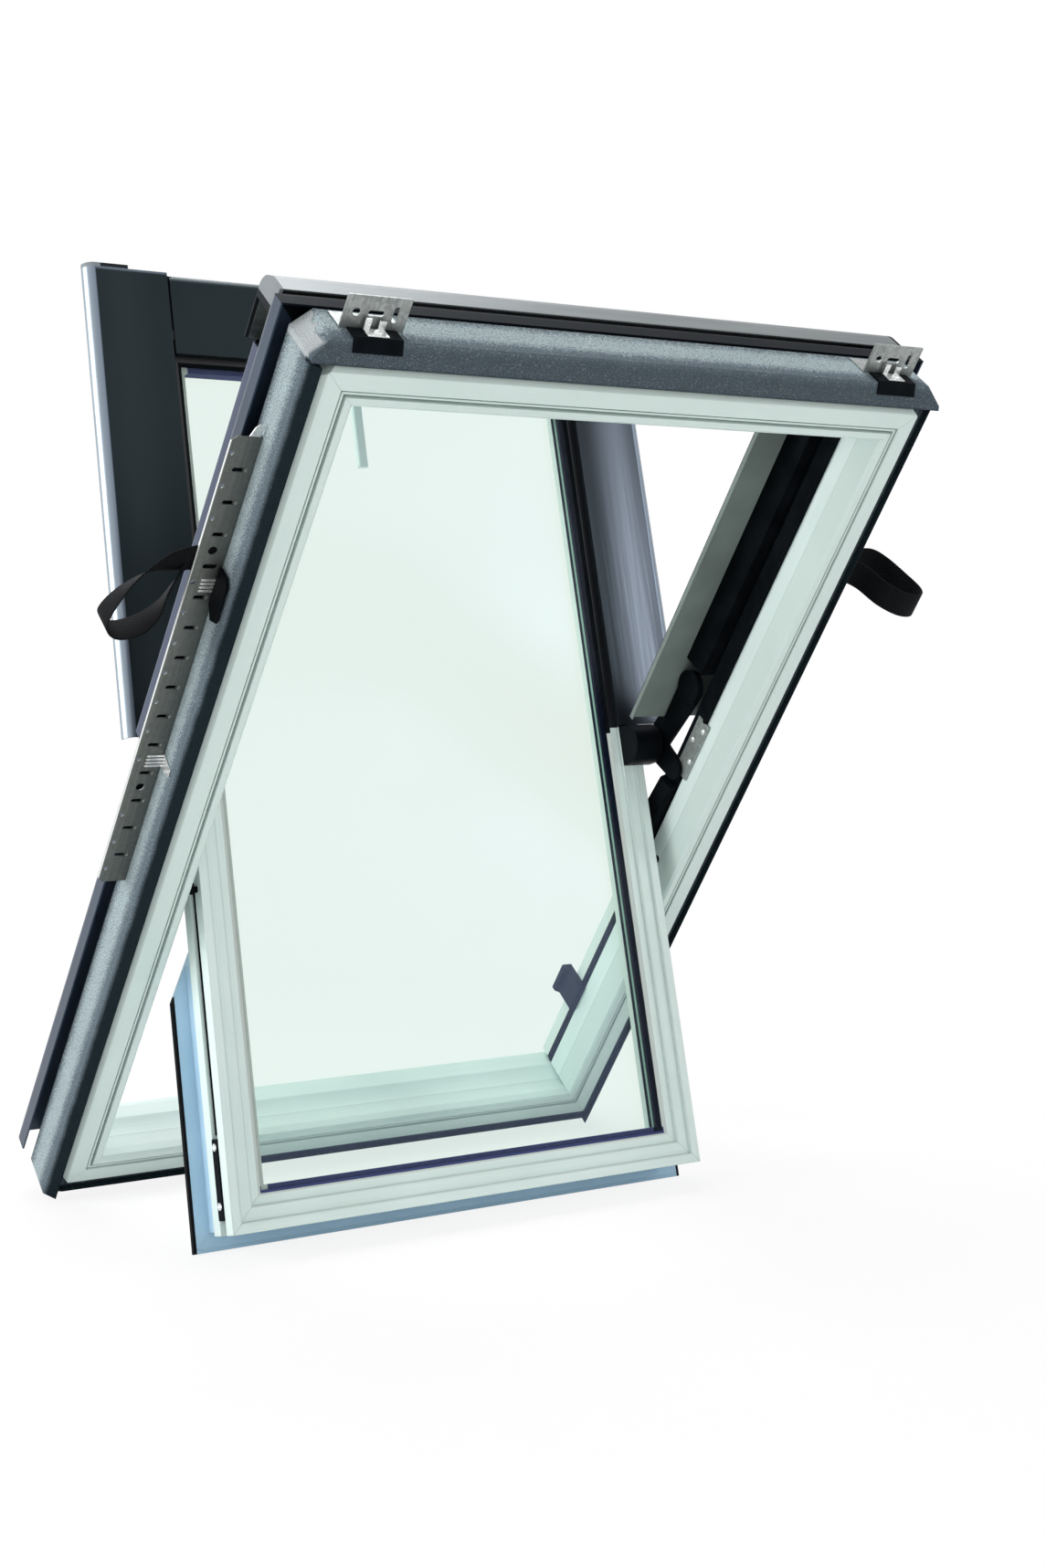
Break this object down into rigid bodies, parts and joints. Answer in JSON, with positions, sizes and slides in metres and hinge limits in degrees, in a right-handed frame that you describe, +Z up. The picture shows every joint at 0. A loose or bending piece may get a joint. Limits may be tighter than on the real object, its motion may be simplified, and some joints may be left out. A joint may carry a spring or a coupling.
{
  "type": "centre-pivot roof window",
  "caption": "Roof window with a white plastic frame, foam insulation collar and aluminium cladding, its double-glazed sash turned over on side pivots.",
  "frame": {"origin": "middle of the bearing face of the left fixing rail", "axes": "+X across the window from the left rail to the right one, +Y from the room side to the weather side, +Z up; the frame leans at the roof pitch, its head towards the room"},
  "size_m": [1.0452, 0.8018, 1.1588],
  "materials": {
    "white_profile": "satin white extruded plastic",
    "white_handle": "satin moulded plastic",
    "insulation": "grey expanded bead foam",
    "dark_cover": "dark blue-grey coated sheet",
    "cladding": "dark lacquered aluminium, satin",
    "grey_cap": "moulded grey plastic",
    "black_plastic": "moulded black plastic",
    "galvanised_steel": "galvanised sheet steel",
    "hinge_black": "black coated steel",
    "webbing": "woven black webbing",
    "glass": "clear float glass, pale green",
    "spacer": "blue-violet reflecting spacer",
    "seal": "black seal rubber",
    "flange": "blue-grey coated strip"
  },
  "bodies": {
    "root": {"bottom_foam": "insulation", "flange_bead": "seal", "frame_head": "white_profile", "frame_seal": "seal", "frame_sill": "white_profile", "glass_spacer": "spacer", "glazing_gasket": "seal", "handle": "white_handle", "head_cover": "dark_cover", "hood": "cladding", "inner_pane": "glass", "left_bearing": "hinge_black", "left_cover_core": "black_plastic", "left_flange": "flange", "left_foam": "insulation", "left_head_bracket": "galvanised_steel", "left_hinge_arm": "hinge_black", "left_hinge_plate": "galvanised_steel", "left_hood_cap": "grey_cap", "left_jamb": "white_profile", "left_rail": "galvanised_steel", "left_side_cover": "dark_cover", "left_strap": "webbing", "left_upper_cover": "dark_cover", "outer_pane": "glass", "right_bearing": "hinge_black", "right_cover_core": "black_plastic", "right_flange": "flange", "right_foam": "insulation", "right_head_bracket": "galvanised_steel", "right_hinge_arm": "hinge_black", "right_hinge_plate": "galvanised_steel", "right_hood_cap": "black_plastic", "right_jamb": "white_profile", "right_rail": "galvanised_steel", "right_side_cover": "dark_cover", "right_strap": "webbing", "right_upper_cover": "dark_cover", "sash_bottom_cladding": "cladding", "sash_bottom_rail": "white_profile", "sash_left_cladding": "cladding", "sash_left_end_cap": "grey_cap", "sash_left_stile": "white_profile", "sash_right_cladding": "cladding", "sash_right_end_cap": "black_plastic", "sash_right_stile": "white_profile", "sash_top_rail": "white_profile", "sill_cover": "dark_cover", "top_flange": "flange", "top_foam": "insulation"}
  },
  "joints": []
}
